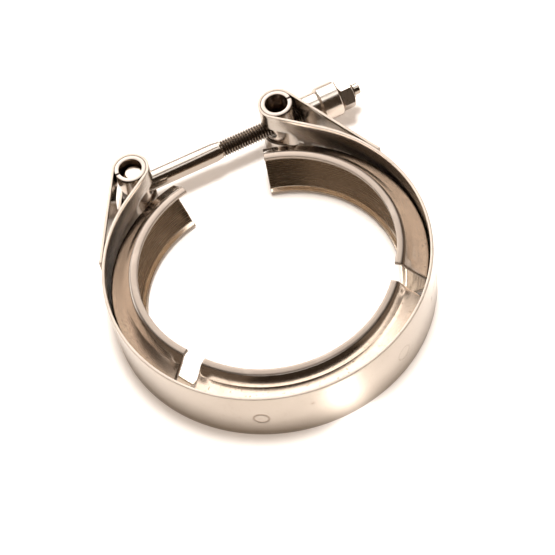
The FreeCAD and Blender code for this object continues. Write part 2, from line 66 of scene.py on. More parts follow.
class BentPath:
    def __init__(self, start, heading):
        self.spans = []
        self.marks = [0.0]
        self.place = np.array(start, float)
        self.heading = heading

    def add(self, length, turn=0.0):
        # turn is the change of heading over the run, positive to the left
        self.spans.append((self.marks[-1], length, self.place.copy(), self.heading, turn))
        self.place, self.heading = self.along(self.spans[-1], length)
        self.marks.append(self.marks[-1] + length)

    @staticmethod
    def along(span, distance):
        _, length, place, heading, turn = span
        if abs(turn) < 1e-9:
            return place + polar(distance, heading), heading
        radius = length / turn
        ahead = heading + turn * distance / length
        centre = place + polar(radius, heading + math.pi / 2)
        return centre + polar(radius, ahead - math.pi / 2), ahead

    def at(self, distance):
        # place and right-hand normal
        span = self.spans[0]
        for other in self.spans:
            if distance >= other[0]:
                span = other
        place, heading = self.along(span, distance - span[0])
        return place, polar(1, heading - math.pi / 2)

    def stations(self, straightStep, arcStep):
        places = []
        for begin, length, _, _, turn in self.spans:
            step = straightStep if abs(turn) < 1e-9 else arcStep * length / abs(turn)
            count = max(2, math.ceil(length / step))
            places += [begin + length * number / count for number in range(count)]
        return places + [self.marks[-1]]


def flatSheet(stations, strips):
    # Faces over the flat blank; strips(station) gives the rows across it, open places left out
    bm = bmesh.new()
    columns = [
        [[bm.verts.new((station, across, 0)) for across in strip] for strip in strips(station)]
        for station in stations
    ]
    for left, right in zip(columns, columns[1:]):
        for leftStrip, rightStrip in zip(left, right):
            for row in range(len(leftStrip) - 1):
                bm.faces.new((
                    leftStrip[row], rightStrip[row], rightStrip[row + 1], leftStrip[row + 1],
                ))
    bmesh.ops.remove_doubles(bm, verts=bm.verts, dist=1e-5)
    bmesh.ops.recalc_face_normals(bm, faces=bm.faces)
    return bm


def foldedSheet(name, stations, strips, thickness, edgeRadius, bend):
    # The flat blank gets its thickness and rounded edges, and is then bent to shape
    bm = flatSheet(stations, strips)
    mesh = bpy.data.meshes.new(name)
    bm.to_mesh(mesh)
    bm.free()
    piece = bpy.data.objects.new(name, mesh)
    bpy.context.collection.objects.link(piece)
    solid = piece.modifiers.new("thickness", "SOLIDIFY")
    solid.thickness = thickness
    solid.offset = 0.0
    soften = piece.modifiers.new("edges", "BEVEL")
    soften.width = edgeRadius
    soften.segments = 2
    soften.limit_method = "ANGLE"
    soften.angle_limit = math.radians(50)
    applyModifiers(piece)
    mesh = piece.data
    flat = np.empty(len(mesh.vertices) * 3)
    mesh.vertices.foreach_get("co", flat)
    flat = flat.reshape(-1, 3)
    faceNormals = np.empty(len(mesh.polygons) * 3)
    mesh.polygons.foreach_get("normal", faceNormals)
    facing = faceNormals.reshape(-1, 3)[:, 2]
    flush = 0.9  # materials in order: outside, cut edges, inside
    finish = np.where(facing > flush, 0, np.where(facing < -flush, 2, 1))
    mesh.polygons.foreach_set("material_index", finish.astype(np.int32))
    layer = mesh.uv_layers.new(name="sheetMap")
    corners = np.empty(len(mesh.loops), int)
    mesh.loops.foreach_get("vertex_index", corners)
    layer.data.foreach_set("uv", (flat[corners, :2] * flatScale).ravel())
    bent = np.array([bend(*spot) for spot in flat]) * mm
    mesh.vertices.foreach_set("co", bent.ravel())
    fixNormals(mesh)
    return piece


def applyModifiers(piece):
    graph = bpy.context.evaluated_depsgraph_get()
    mesh = bpy.data.meshes.new_from_object(piece.evaluated_get(graph))
    piece.modifiers.clear()
    piece.data = mesh


def fixNormals(mesh, sharpAngle=50):
    bm = bmesh.new()
    bm.from_mesh(mesh)
    bmesh.ops.recalc_face_normals(bm, faces=bm.faces)
    if bm.calc_volume(signed=True) < 0:
        bmesh.ops.reverse_faces(bm, faces=bm.faces)
    bm.to_mesh(mesh)
    bm.free()
    mesh.shade_smooth()
    mesh.set_sharp_from_angle(angle=math.radians(sharpAngle))
    mesh.update()


def meshFromRings(name, rings, closed):
    # Quads from ring to ring, points in mm; triangles where neighbours meet in one point
    bm = bmesh.new()
    rows = [[bm.verts.new(Vector(place) * mm) for place in ring] for ring in rings]
    for first, second in zip(rows, rows[1:] + (rows[:1] if closed else [])):
        count = len(first)
        for column in range(count):
            after = (column + 1) % count
            bm.faces.new((first[column], first[after], second[after], second[column]))
    bmesh.ops.remove_doubles(bm, verts=bm.verts, dist=1e-7)
    bmesh.ops.recalc_face_normals(bm, faces=bm.faces)
    mesh = bpy.data.meshes.new(name)
    bm.to_mesh(mesh)
    bm.free()
    piece = bpy.data.objects.new(name, mesh)
    bpy.context.collection.objects.link(piece)
    return piece


def place(piece, node, body, slot, *materials):
    for material in materials:
        piece.data.materials.append(material)
    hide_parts(node)
    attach(piece, body)
    return piece


def aroundOpenings(halfWidth, rows, openings):
    # Two strips per station, above and below the openings on the sheet's middle line
    def strips(station):
        edge = max([0.0] + [opening(station) for opening in openings])
        upper = [edge + (halfWidth - edge) * row / rows for row in range(rows + 1)]
        return [upper, [-across for across in reversed(upper)]]

    return strips


def clearOf(stations, begin, end, margin=0.05):
    return [spot for spot in stations if not begin - margin < spot < end + margin]


# The two rolled tubes that the strip's loops hold, one at each end of the bolt
trunnionSettings = {
    "leftX": -25.99,
    "rightX": 29.659,
    "boltY": 55.65,
    "radius": 5.5,
    "wall": 1.5,
    "seam": 0.6,
    "fit": 0.05,
    "holeRadius": 3.75,
    "edgeRadius": 0.3,
}


def makeTrunnion(name, node, x, turned, *materials):
    # Rolled split tube; its seam faces away from the other trunnion
    tube = trunnionSettings
    middle = tube["radius"] - tube["wall"] / 2
    halfHole = tube["holeRadius"]
    seam = tube["seam"] / middle
    length = middle * (2 * math.pi - seam)

    def hole(centre):
        def opening(station):
            side = middle * math.sin((station - centre) / middle)
            near = abs(station - centre) < middle * math.pi / 2
            return math.sqrt(max(halfHole ** 2 - side ** 2, 0.0)) if near else 0.0

        return opening

    holeArc = middle * math.asin(halfHole / middle)
    holeCentres = [-tube["seam"] / 2, length / 2, length + tube["seam"] / 2]
    columns, holeSteps = 64, 12
    stations = [length * number / columns for number in range(columns + 1)]
    for centre in holeCentres:
        stations = clearOf(stations, centre - holeArc, centre + holeArc, margin=0.1)
        for step in range(2 * holeSteps + 1):
            spot = centre + holeArc * math.sin(math.pi / 2 * (step / holeSteps - 1))
            if 0 < spot < length:
                stations.append(spot)
    stations += [0.0, length]

    def bend(along, across, depth):
        angle = math.radians(turned) + math.pi + seam / 2 + along / middle
        spot = polar(middle + depth, angle)
        return x + spot[0], tube["boltY"] + spot[1], across

    openings = [hole(centre) for centre in holeCentres]
    piece = foldedSheet(
        name, sorted(set(stations)), aroundOpenings(ringSettings["width"] / 2, 8, openings),
        tube["wall"], tube["edgeRadius"], bend,
    )
    return place(piece, node, "clamp_ring", "trunnion_steel", *materials)


# The strip: a ring whose ends fold back over the trunnions and lap on its own outside
ringSettings = {
    "radius": 55.0,
    "thickness": 1.0,
    "width": 22.3,
    "layerGap": 0.05,
    "lapAngle": 2.5,
    "slotWidth": 7.9,
    "slotReach": 9.0,
    "edgeRadius": 0.16,
}


def loopAngles(x, side):
    strip, tube = ringSettings, trunnionSettings
    distance = math.hypot(x, tube["boltY"])
    direction = math.atan2(tube["boltY"], x)
    wrapInner = tube["radius"] + tube["fit"]
    lapInner = strip["radius"] + strip["layerGap"]
    innerLean = math.acos((strip["radius"] + wrapInner) / distance)
    outerLean = math.acos((lapInner - wrapInner) / distance)
    return {
        "inner": direction + side * innerLean,
        "outer": direction + side * outerLean,
        "innerRun": distance * math.sin(innerLean),
        "outerRun": distance * math.sin(outerLean),
    }


leftLoop = loopAngles(trunnionSettings["leftX"], 1)
rightLoop = loopAngles(trunnionSettings["rightX"], -1)


def stripPath():
    strip, tube = ringSettings, trunnionSettings
    half = strip["thickness"] / 2
    lapRadius = strip["radius"] + strip["layerGap"] + half
    wrapRadius = tube["radius"] + tube["fit"] + half
    ringRadius = strip["radius"] - half
    lap = math.radians(strip["lapAngle"])
    start = leftLoop["outer"] + lap
    path = BentPath(polar(lapRadius, start), start - math.pi / 2)
    path.add(lapRadius * lap, -lap)
    path.add(leftLoop["outerRun"])
    leftWrap = math.pi + leftLoop["outer"] - leftLoop["inner"]
    path.add(wrapRadius * leftWrap, -leftWrap)
    path.add(leftLoop["innerRun"])
    ring = rightLoop["inner"] + 2 * math.pi - leftLoop["inner"]
    path.add(ringRadius * ring, ring)
    path.add(rightLoop["innerRun"])
    rightWrap = math.pi + rightLoop["inner"] - rightLoop["outer"]
    path.add(wrapRadius * rightWrap, -rightWrap)
    path.add(rightLoop["outerRun"])
    path.add(lapRadius * lap, -lap)
    return path


def slotOpening(begin, end, halfWidth):
    def opening(station):
        inside = min(station - begin, end - station)
        if inside <= 0:
            return 0.0
        short = max(halfWidth - inside, 0.0)
        return math.sqrt(halfWidth ** 2 - short ** 2)

    return opening


def slotStations(begin, end, halfWidth, steps=12):
    # Close together towards the slot's round ends
    places = []
    for step in range(steps + 1):
        along = halfWidth * (1 - math.cos(math.pi / 2 * step / steps))
        places += [begin + along, end - along]
    return places


def makeBand(*materials):
    strip = ringSettings
    path = stripPath()
    print("strip length:", round(path.marks[-1], 1), "mm")
    halfSlot = strip["slotWidth"] / 2
    stations = path.stations(1.0, math.radians(1.2))
    openings = []
    for first, last in ((2, 3), (6, 7)):  # marks where each loop's wrap starts and ends
        begin = path.marks[first] - strip["slotReach"]
        end = path.marks[last] + strip["slotReach"]
        openings.append(slotOpening(begin, end, halfSlot))
        stations = clearOf(clearOf(stations, begin, begin + halfSlot), end - halfSlot, end)
        stations += slotStations(begin, end, halfSlot)

    def bend(station, across, depth):
        spot, normal = path.at(station)
        spot = spot + normal * depth
        return spot[0], spot[1], across

    piece = foldedSheet(
        "outerBand", sorted(stations), aroundOpenings(strip["width"] / 2, 8, openings),
        strip["thickness"], strip["edgeRadius"], bend,
    )
    return place(piece, "outer_band", "clamp_ring", "band_steel", *materials)


# The V-segments: pressed channels, bent tighter than the ring so that each touches it once
segmentSettings = {
    "thickness": 1.2,
    "length": 94.52,
    "gapAngle": 2.5,
    "sideRadius": 48.45,
    "baseRadius": 51.85,
    "gap": 0.05,
    "leftContact": 177.2,
    "baseContact": 267.5,
    "rightContact": -2.4,
    "backHalfWidth": 3.1,
    "kneeDepth": 5.4,
    "kneeHalfWidth": 7.7,
    "shoulderDepth": 8.0,
    "lipHalfWidth": 10.65,
    "grooveDepth": 10.5,
    "bendRadius": 0.8,
    "edgeRadius": 0.14,
    "lipWear": 2.4,
    "dentInset": 2.4,
    "dentLength": 1.7,
    "dentWidth": 1.2,
    "dentDepth": 0.3,
}


def sectionPath(backRadius):
    # The channel's middle line, from the upper lip's tip to the lower one's, as radius and height
    part = segmentSettings
    half = part["thickness"] / 2
    middleBend = part["bendRadius"] + half
    outerBend = part["bendRadius"] + part["thickness"]
    outside = [
        (backRadius - part["grooveDepth"], part["lipHalfWidth"]),
        (backRadius - part["shoulderDepth"], part["lipHalfWidth"]),
        (backRadius - part["kneeDepth"], part["kneeHalfWidth"]),
        (backRadius, part["backHalfWidth"]),
    ]
    outside += [(radius, -height) for radius, height in reversed(outside)]
    runs = list(zip(outside, outside[1:]))
    headings = [math.atan2(b[1] - a[1], b[0] - a[0]) for a, b in runs]
    turns = [
        (after - before + math.pi) % (2 * math.pi) - math.pi
        for before, after in zip(headings, headings[1:])
    ]
    setbacks = [0.0] + [outerBend * math.tan(abs(turn) / 2) for turn in turns] + [0.0]
    start = np.array(outside[0]) + polar(half, headings[0] - math.pi / 2)
    path = BentPath(start, headings[0])
    for number, (a, b) in enumerate(runs):
        path.add(math.dist(a, b) - setbacks[number] - setbacks[number + 1])
        if number < len(turns):
            path.add(middleBend * abs(turns[number]), turns[number])
    return path


def dented(along, across, creases):
    # Small press marks on the creases close to the channel's ends
    part = segmentSettings
    depth = 0.0
    for end in (part["dentInset"], part["length"] - part["dentInset"]):
        for crease in creases:
            forward = (along - end) / part["dentLength"]
            sideways = (across - crease) / part["dentWidth"]
            depth -= part["dentDepth"] * math.exp(-(forward ** 2 + sideways ** 2))
    return depth


def makeSegment(name, node, backRadius, contact, start, *materials):
    part = segmentSettings
    path = sectionPath(backRadius)
    ringInner = ringSettings["radius"] - ringSettings["thickness"]
    reach = ringInner - part["gap"] - backRadius
    centre = polar(reach, math.radians(contact))
    rows = path.stations(0.9, math.radians(12))
    creases = (path.marks[3], path.marks[-4])
    count = 108
    columns = [part["length"] * number / count for number in range(count + 1)]

    def bend(along, across, depth):
        spot, normal = path.at(across)
        spot = spot - normal * (depth - dented(along, across, creases))
        x, y = centre + polar(spot[0], math.radians(start) + along / backRadius)
        return x, y, spot[1]

    piece = foldedSheet(
        name, columns, lambda station: [rows], part["thickness"], part["edgeRadius"], bend
    )
    return place(piece, node, "clamp_ring", "segment_steel", *materials)


# The T-bolt: its head lies inside the left trunnion
boltSettings = {
    "shankRadius": 3.4,
    "threadRadius": 3.1,
    "threadStart": 31.85,
    "threadEnd": 84.35,
    "pitch": 1.0,
    "threadDepth": 0.61,
    "threadChamfer": 0.6,
    "flankSpeed": 1.15,  # above 1, the roots get a narrow flat
    "shadedRootShare": 0.62,  # faces deeper than this share of the thread are dark, a painted shade in the grooves
    "pointRadius": 2.0,
    "pointLength": 2.1,
    "pointChamfer": 0.3,
    "headRadius": 3.4,
    "headLength": 16.9,
    "headChamfer": 0.7,
    "headSeat": 0.05,
}


def lathe(name, profile, columns=48):
    # Turned about Z; the profile is pairs of height and radius in mm
    angles = [2 * math.pi * column / columns for column in range(columns)]
    rings = [[(*polar(radius, angle), height) for angle in angles] for height, radius in profile]
    return meshFromRings(name, rings, closed=False)


def threadedRadius(x, angle):
    # Thread with round crests and narrow flat roots, which runs out at the shank
    bolt = boltSettings
    phase = (x / bolt["pitch"] - angle / (2 * math.pi)) % 1.0
    slope = abs(2 * phase - 1)
    fall = min(1.0, slope * bolt["flankSpeed"])
    depth = bolt["threadDepth"] * (0.5 - 0.5 * math.cos(math.pi * fall))
    runOut = min(1.0, max(0.0, (x - bolt["threadStart"]) / bolt["pitch"]))
    leadIn = bolt["threadEnd"] - x
    crest = bolt["threadRadius"] - max(0.0, bolt["threadChamfer"] - leadIn)
    shank = bolt["shankRadius"]
    return min(shank + (crest - depth - shank) * runOut, max(crest, bolt["pointRadius"]))


def makeBolt(*materials):
    bolt, tube = boltSettings, trunnionSettings
    headShift = tube["radius"] - tube["wall"] - bolt["headRadius"] - bolt["headSeat"]
    columns = 40
    rowsPerPitch = 10
    rings = []

    def ring(x, radius):
        rings.append([
            (x, *polar(radius(2 * math.pi * column / columns), 2 * math.pi * column / columns))
            for column in range(columns)
        ])

    ring(headShift, lambda angle: 0.0)
    for x in (headShift, 10, 20, 30):  # along the plain shank
        ring(x, lambda angle: bolt["shankRadius"])
    count = round((bolt["threadEnd"] - bolt["threadStart"]) / bolt["pitch"] * rowsPerPitch)
    for row in range(count + 1):
        x = bolt["threadStart"] + row * bolt["pitch"] / rowsPerPitch
        ring(x, lambda angle: threadedRadius(x, angle))
    tip = bolt["threadEnd"] + bolt["pointLength"]
    nose, blunt = bolt["pointRadius"], bolt["pointChamfer"]
    for x, radius in (
        (bolt["threadEnd"], nose), (tip - blunt, nose), (tip, nose - blunt), (tip, 0.0),
    ):
        ring(x, lambda angle: radius)
    shank = meshFromRings("teeBolt", rings, closed=False)
    half = bolt["headLength"] / 2
    cut = bolt["headChamfer"]
    radius = bolt["headRadius"]
    profile = [(-half, 0.0), (-half, radius - cut), (cut - half, radius)]
    profile += [(-height, across) for height, across in reversed(profile)]
    head = lathe("teeHead", profile)
    head.data.transform(Matrix.Translation((headShift * mm, 0, 0)))
    join = shank.modifiers.new("head", "BOOLEAN")
    join.operation = "UNION"
    join.solver = "EXACT"
    join.object = head
    applyModifiers(shank)
    bpy.data.objects.remove(head)
    shank.data.transform(Matrix.Translation((tube["leftX"] * mm, tube["boltY"] * mm, 0)))
    fixNormals(shank.data, 35)
    # Painted shade: faces deep in the thread's grooves get the almost black second finish
    start = tube["leftX"] + bolt["threadStart"] + bolt["pitch"]
    end = tube["leftX"] + bolt["threadEnd"] - bolt["pitch"]
    limit = bolt["threadRadius"] - bolt["shadedRootShare"] * bolt["threadDepth"]
    for face in shank.data.polygons:
        x, y, z = face.center / mm
        inShadedRoot = start < x < end and math.hypot(y - tube["boltY"], z) < limit
        face.material_index = int(inShadedRoot)
    return place(shank, "tee_bolt", "clamp_ring", "bolt_steel", *materials)


# The sleeve: its saddled end bears on the right loop
sleeveSettings = {
    "neckRadius": 5.4,
    "neckLength": 14.8,
    "collarRadius": 6.35,
    "collarLength": 7.5,
    "collarChamfer": 0.8,
    "collarRearChamfer": 0.3,
    "bore": 3.2,
    "boreChamfer": 0.4,
    "saddleFit": 0.05,
}


def saddleStart(y):
    # How far the loop's outer face is from the right trunnion's axis: first the leg, then the wrap
    tube, strip = trunnionSettings, ringSettings
    seat = tube["radius"] + tube["fit"] + strip["thickness"] + sleeveSettings["saddleFit"]
    lean = rightLoop["outer"]
    if y < seat * math.sin(lean):
        return (seat - y * math.sin(lean)) / math.cos(lean)
    return math.sqrt(max(seat ** 2 - y ** 2, 0.0))


def makeSleeve(material):
    part, tube = sleeveSettings, trunnionSettings
    neck, collar, bore = part["neckRadius"], part["collarRadius"], part["bore"]
    shoulder = part["neckLength"]
    end = shoulder + part["collarLength"]
    front, rear = part["collarChamfer"], part["collarRearChamfer"]
    mouth = part["boreChamfer"]
    profile = [
        (None, bore), (None, neck), (shoulder, neck), (shoulder, collar - front),
        (shoulder + front, collar), (end - rear, collar), (end, collar - rear),
        (end, bore + mouth), (end - mouth, bore),
    ]
    columns = 96
    rings = []
    for x, radius in profile:
        ring = []
        for column in range(columns):
            across = polar(radius, 2 * math.pi * column / columns)
            along = saddleStart(across[0]) if x is None else x
            ring.append((along, *across))
        rings.append(ring)
    piece = meshFromRings("shoulderSleeve", rings, closed=True)
    piece.data.transform(Matrix.Translation((tube["rightX"] * mm, tube["boltY"] * mm, 0)))
    fixNormals(piece.data, 25)
    return place(piece, "shoulder_sleeve", "sleeve", "sleeve_steel", material)


# The nut, behind the sleeve
nutSettings = {
    "acrossFlats": 10.0,
    "height": 4.8,
    "gap": 0.4,
    "turn": -37.0,
    "washerRadius": 4.7,
    "chamferAngle": 30.0,
    "cornerBreak": 0.06,
    "bore": 3.15,
    "boreChamfer": 0.4,
}


def makeNut(material):
    part, tube, sleeve = nutSettings, trunnionSettings, sleeveSettings
    start = tube["rightX"] + sleeve["neckLength"] + sleeve["collarLength"] + part["gap"]
    half = part["acrossFlats"] / 2
    height, bore, cut = part["height"], part["bore"], part["boreChamfer"]
    slope = math.tan(math.radians(part["chamferAngle"]))
    perSide = 12
    columns = 6 * perSide
    rings = [[] for _ in range(8)]
    for column in range(columns):
        angle = 2 * math.pi * column / columns
        side = (angle + math.pi / 6) % (math.pi / 3) - math.pi / 6
        corner = min(half / math.cos(side), half / math.cos(math.pi / 6) - part["cornerBreak"])
        depth = (corner - part["washerRadius"]) * slope
        spots = [
            (0, bore + cut), (0, part["washerRadius"]),
            (depth, corner), (height - depth, corner),
            (height, part["washerRadius"]), (height, bore + cut),
            (height - cut, bore), (cut, bore),
        ]
        turned = angle + math.radians(part["turn"])
        for ring, (x, radius) in zip(rings, spots):
            ring.append((x, *polar(radius, turned)))
    piece = meshFromRings("hexNut", rings, closed=True)
    piece.data.transform(Matrix.Translation((start * mm, tube["boltY"] * mm, 0)))
    fixNormals(piece.data, 18)
    return place(piece, "hex_nut", "nut", "nut_steel", material)


def newGroup(name, inputs, outputs):
    group = bpy.data.node_groups.new(name, "ShaderNodeTree")
    for label, value in inputs.items():
        socket = group.interface.new_socket(
            name=label, in_out="INPUT", socket_type="NodeSocketFloat"
        )
        socket.default_value = value
    for label in outputs:
        group.interface.new_socket(name=label, in_out="OUTPUT", socket_type="NodeSocketFloat")
    given = group.nodes.new("NodeGroupInput").outputs
    return group, given, group.nodes.new("NodeGroupOutput").inputs


def addNode(tree, kind, inputs=None, **options):
    node = tree.nodes.new(kind)
    for label, value in options.items():
        setattr(node, label, value)
    for label, value in (inputs or {}).items():
        if isinstance(value, bpy.types.NodeSocket):
            tree.links.new(value, node.inputs[label])
        else:
            node.inputs[label].default_value = value
    return node


def calculate(tree, operation, *values, clamp=False):
    # One step of arithmetic on sockets or plain numbers
    node = addNode(
        tree, "ShaderNodeMath", dict(enumerate(values)), operation=operation, use_clamp=clamp
    )
    return node.outputs[0]


def mixColours(tree, factor, first, second):
    # The Mix node keeps its colours in the sockets numbered 6 and 7
    node = addNode(
        tree, "ShaderNodeMix", {"Factor": factor, 6: first, 7: second}, data_type="RGBA"
    )
    return node.outputs[2]


def sheetPlace(tree):
    # The place on the flat sheet: U runs along it and V across it
    return addNode(tree, "ShaderNodeUVMap", uv_map="sheetMap").outputs["UV"]


def rollingLines():
    # Long faint streaks along the sheet
    group, given, result = newGroup(
        "rollingLines", {"Length": 6.0, "Fineness": 900.0, "Contrast": 1.0}, ["Streaks"]
    )
    parts = addNode(group, "ShaderNodeSeparateXYZ", {"Vector": sheetPlace(group)}).outputs
    stretched = addNode(group, "ShaderNodeCombineXYZ", {
        "X": calculate(group, "MULTIPLY", parts["X"], given["Length"]),
        "Y": calculate(group, "MULTIPLY", parts["Y"], given["Fineness"]),
    })
    noise = addNode(group, "ShaderNodeTexNoise", {
        "Vector": stretched.outputs[0], "Scale": 1.0, "Detail": 3.0, "Roughness": 0.6,
    })
    level = calculate(group, "SUBTRACT", noise.outputs["Fac"], 0.5)
    spread = calculate(group, "MULTIPLY", level, given["Contrast"])
    streaks = calculate(group, "ADD", spread, 0.5, clamp=True)
    group.links.new(streaks, result["Streaks"])
    return group


def cloudyTarnish():
    # Soft uneven patches with scattered small dark specks
    group, given, result = newGroup(
        "cloudyTarnish", {"Patch Scale": 90.0, "Speck Scale": 900.0, "Speck Amount": 0.3},
        ["Patches", "Specks"],
    )
    spot = addNode(group, "ShaderNodeTexCoord").outputs["Object"]
    cloud = addNode(group, "ShaderNodeTexNoise", {
        "Vector": spot, "Scale": given["Patch Scale"], "Detail": 4.0,
    })
    specks = addNode(group, "ShaderNodeTexNoise", {
        "Vector": spot, "Scale": given["Speck Scale"], "Detail": 2.0,
    })
    raised = addNode(group, "ShaderNodeMapRange", {
        "Value": specks.outputs["Fac"], "From Min": 0.62, "From Max": 0.72,
        "To Min": 0.0, "To Max": 1.0,
    })
    amount = calculate(group, "MULTIPLY", raised.outputs[0], given["Speck Amount"])
    group.links.new(cloud.outputs["Fac"], result["Patches"])
    group.links.new(amount, result["Specks"])
    return group


def edgeBand():
    # Mask of what lies further than a given distance from the sheet's middle line
    group, given, result = newGroup(
        "edgeBand", {"Middle": 0.0, "Reach": 1.0, "Softness": 0.001}, ["Band"]
    )
    parts = addNode(group, "ShaderNodeSeparateXYZ", {"Vector": sheetPlace(group)}).outputs
    offset = calculate(group, "SUBTRACT", parts["Y"], given["Middle"])
    beyond = calculate(group, "SUBTRACT", calculate(group, "ABSOLUTE", offset), given["Reach"])
    band = calculate(group, "DIVIDE", beyond, given["Softness"], clamp=True)
    group.links.new(band, result["Band"])
    return group


def weldMark():
    # Round pressed ring left on the sheet by a spot weld, with a slightly sunk middle
    group, given, result = newGroup(
        "weldMark",
        {"Along": 0.0, "Across": 0.0, "Radius": 0.025, "Width": 0.004, "Wobble": 0.004},
        ["Ridge", "Sunk"],
    )
    flat = sheetPlace(group)
    centre = addNode(group, "ShaderNodeCombineXYZ", {"X": given["Along"], "Y": given["Across"]})
    offset = addNode(
        group, "ShaderNodeVectorMath", {0: flat, 1: centre.outputs[0]}, operation="SUBTRACT"
    )
    away = addNode(
        group, "ShaderNodeVectorMath", {0: offset.outputs["Vector"]}, operation="LENGTH"
    )
    noise = addNode(group, "ShaderNodeTexNoise", {"Vector": flat, "Scale": 40.0})
    uneven = calculate(group, "MULTIPLY", noise.outputs["Fac"], given["Wobble"])
    distance = calculate(group, "ADD", away.outputs["Value"], uneven)
    beyond = calculate(group, "SUBTRACT", distance, given["Radius"])
    share = calculate(group, "DIVIDE", calculate(group, "ABSOLUTE", beyond), given["Width"])
    ridge = calculate(group, "SUBTRACT", 1.0, share, clamp=True)
    group.links.new(ridge, result["Ridge"])
    group.links.new(calculate(group, "LESS_THAN", beyond, 0.0), result["Sunk"])
    return group


groups = {
    "rollingLines": rollingLines(),
    "cloudyTarnish": cloudyTarnish(),
    "edgeBand": edgeBand(),
    "weldMark": weldMark(),
}

# One finish for each surface; dark is what tarnish turns the colour to
finishes = {
    "band": {
        "colour": (0.56, 0.495, 0.43), "dark": (0.36, 0.29, 0.235), "roughness": (0.15, 0.24),
        "length": 3.0, "fineness": 700.0, "contrast": 0.9,
        "patch": 70.0, "speck": 900.0, "specks": 0.2, "bump": 0.006,
    },
    # Painted shade: the strip's inner face gets a slightly darker copy of the band finish
    "bandInsideShade": {
        "colour": (0.54, 0.485, 0.43), "dark": (0.32, 0.26, 0.215), "roughness": (0.18, 0.26),
        "length": 3.0, "fineness": 700.0, "contrast": 0.9,
        "patch": 90.0, "speck": 900.0, "specks": 0.3, "bump": 0.006,
    },
    "segment": {
        "colour": (0.60, 0.525, 0.46), "dark": (0.20, 0.16, 0.13), "roughness": (0.10, 0.19),
        "length": 4.0, "fineness": 500.0, "contrast": 0.8,
        "patch": 120.0, "speck": 1100.0, "specks": 0.5, "bump": 0.006,
    },
    # Painted shade: the channels' inner faces get a darker, browner copy of the segment finish
    "segmentInsideShade": {
        "colour": (0.56, 0.46, 0.36), "dark": (0.28, 0.21, 0.15), "roughness": (0.20, 0.32),
        "length": 4.0, "fineness": 500.0, "contrast": 0.8,
        "patch": 140.0, "speck": 1100.0, "specks": 0.5, "bump": 0.006,
    },
    "tubeEdge": {
        "colour": (0.34, 0.29, 0.25), "dark": (0.24, 0.19, 0.155), "roughness": (0.30, 0.44),
        "length": 6.0, "fineness": 900.0, "contrast": 0.8,
        "patch": 200.0, "speck": 1500.0, "specks": 0.5, "bump": 0.01,
    },
    "cutEdge": {
        "colour": (0.36, 0.30, 0.25), "dark": (0.20, 0.155, 0.12), "roughness": (0.34, 0.5),
        "length": 6.0, "fineness": 900.0, "contrast": 0.8,
        "patch": 200.0, "speck": 1500.0, "specks": 0.5, "bump": 0.01,
    },
    "trunnion": {
        "colour": (0.64, 0.55, 0.47), "dark": (0.34, 0.26, 0.21), "roughness": (0.16, 0.26),
        "length": 4.0, "fineness": 500.0, "contrast": 0.6,
        "patch": 160.0, "speck": 1200.0, "specks": 0.3, "bump": 0.006,
    },
    "bolt": {
        "colour": (0.46, 0.40, 0.34), "dark": (0.32, 0.24, 0.19), "roughness": (0.14, 0.22),
        "length": 4.0, "fineness": 400.0, "contrast": 0.6,
        "patch": 200.0, "speck": 1300.0, "specks": 0.3, "bump": 0.004,
    },
    # Painted shade: the almost black thread roots stand in for the shade deep in the grooves
    "threadRootShade": {
        "colour": (0.08, 0.055, 0.04), "dark": (0.05, 0.035, 0.025), "roughness": (0.4, 0.5),
        "length": 4.0, "fineness": 400.0, "contrast": 0.6,
        "patch": 200.0, "speck": 1300.0, "specks": 0.3, "bump": 0.004,
    },
    "sleeve": {
        "colour": (0.72, 0.63, 0.55), "dark": (0.40, 0.32, 0.26), "roughness": (0.16, 0.26),
        "length": 4.0, "fineness": 400.0, "contrast": 0.6,
        "patch": 180.0, "speck": 1200.0, "specks": 0.2, "bump": 0.004,
    },
    "nut": {
        "colour": (0.58, 0.50, 0.43), "dark": (0.24, 0.19, 0.15), "roughness": (0.26, 0.38),
        "length": 4.0, "fineness": 400.0, "contrast": 0.6,
        "patch": 260.0, "speck": 1300.0, "specks": 0.6, "bump": 0.01,
    },
}


def steel(name):
    # Base steel: tarnish tints the colour, rolling lines vary the gloss
    finish = finishes[name]
    material = bpy.data.materials.new(f"{name}Steel")
    material.use_nodes = True
    tree = material.node_tree
    shader = tree.nodes["Principled BSDF"]
    shader.inputs["Metallic"].default_value = 1.0
    streaks = addNode(tree, "ShaderNodeGroup", {
        "Length": finish["length"], "Fineness": finish["fineness"],
        "Contrast": finish["contrast"],
    }, node_tree=groups["rollingLines"]).outputs["Streaks"]
    tarnish = addNode(tree, "ShaderNodeGroup", {
        "Patch Scale": finish["patch"], "Speck Scale": finish["speck"],
        "Speck Amount": finish["specks"],
    }, node_tree=groups["cloudyTarnish"]).outputs
    mostTarnish = 0.22
    patches = addNode(tree, "ShaderNodeMapRange", {
        "Value": tarnish["Patches"], "From Min": 0.3, "From Max": 0.7,
        "To Min": 0.0, "To Max": mostTarnish,
    })
    low, high = finish["roughness"]
    rough = addNode(tree, "ShaderNodeMapRange", {
        "Value": streaks, "From Min": 0.2, "From Max": 0.8, "To Min": low, "To Max": high,
    })
    bump = addNode(tree, "ShaderNodeBump", {
        "Height": streaks, "Strength": 1.0, "Distance": finish["bump"] * mm,
    })
    layers = {
        "tarnish": calculate(tree, "ADD", patches.outputs[0], tarnish["Specks"], clamp=True),
        "rough": rough.outputs[0],
        "normal": bump.outputs["Normal"],
    }
    if name == "band":
        addWeldMarks(tree, layers)
    if name == "segment":
        addLipWear(tree, layers)
    clean, dark = (*finish["colour"], 1), (*finish["dark"], 1)
    tree.links.new(mixColours(tree, layers["tarnish"], clean, dark), shader.inputs["Base Color"])
    tree.links.new(layers["rough"], shader.inputs["Roughness"])
    tree.links.new(layers["normal"], shader.inputs["Normal"])
    return material


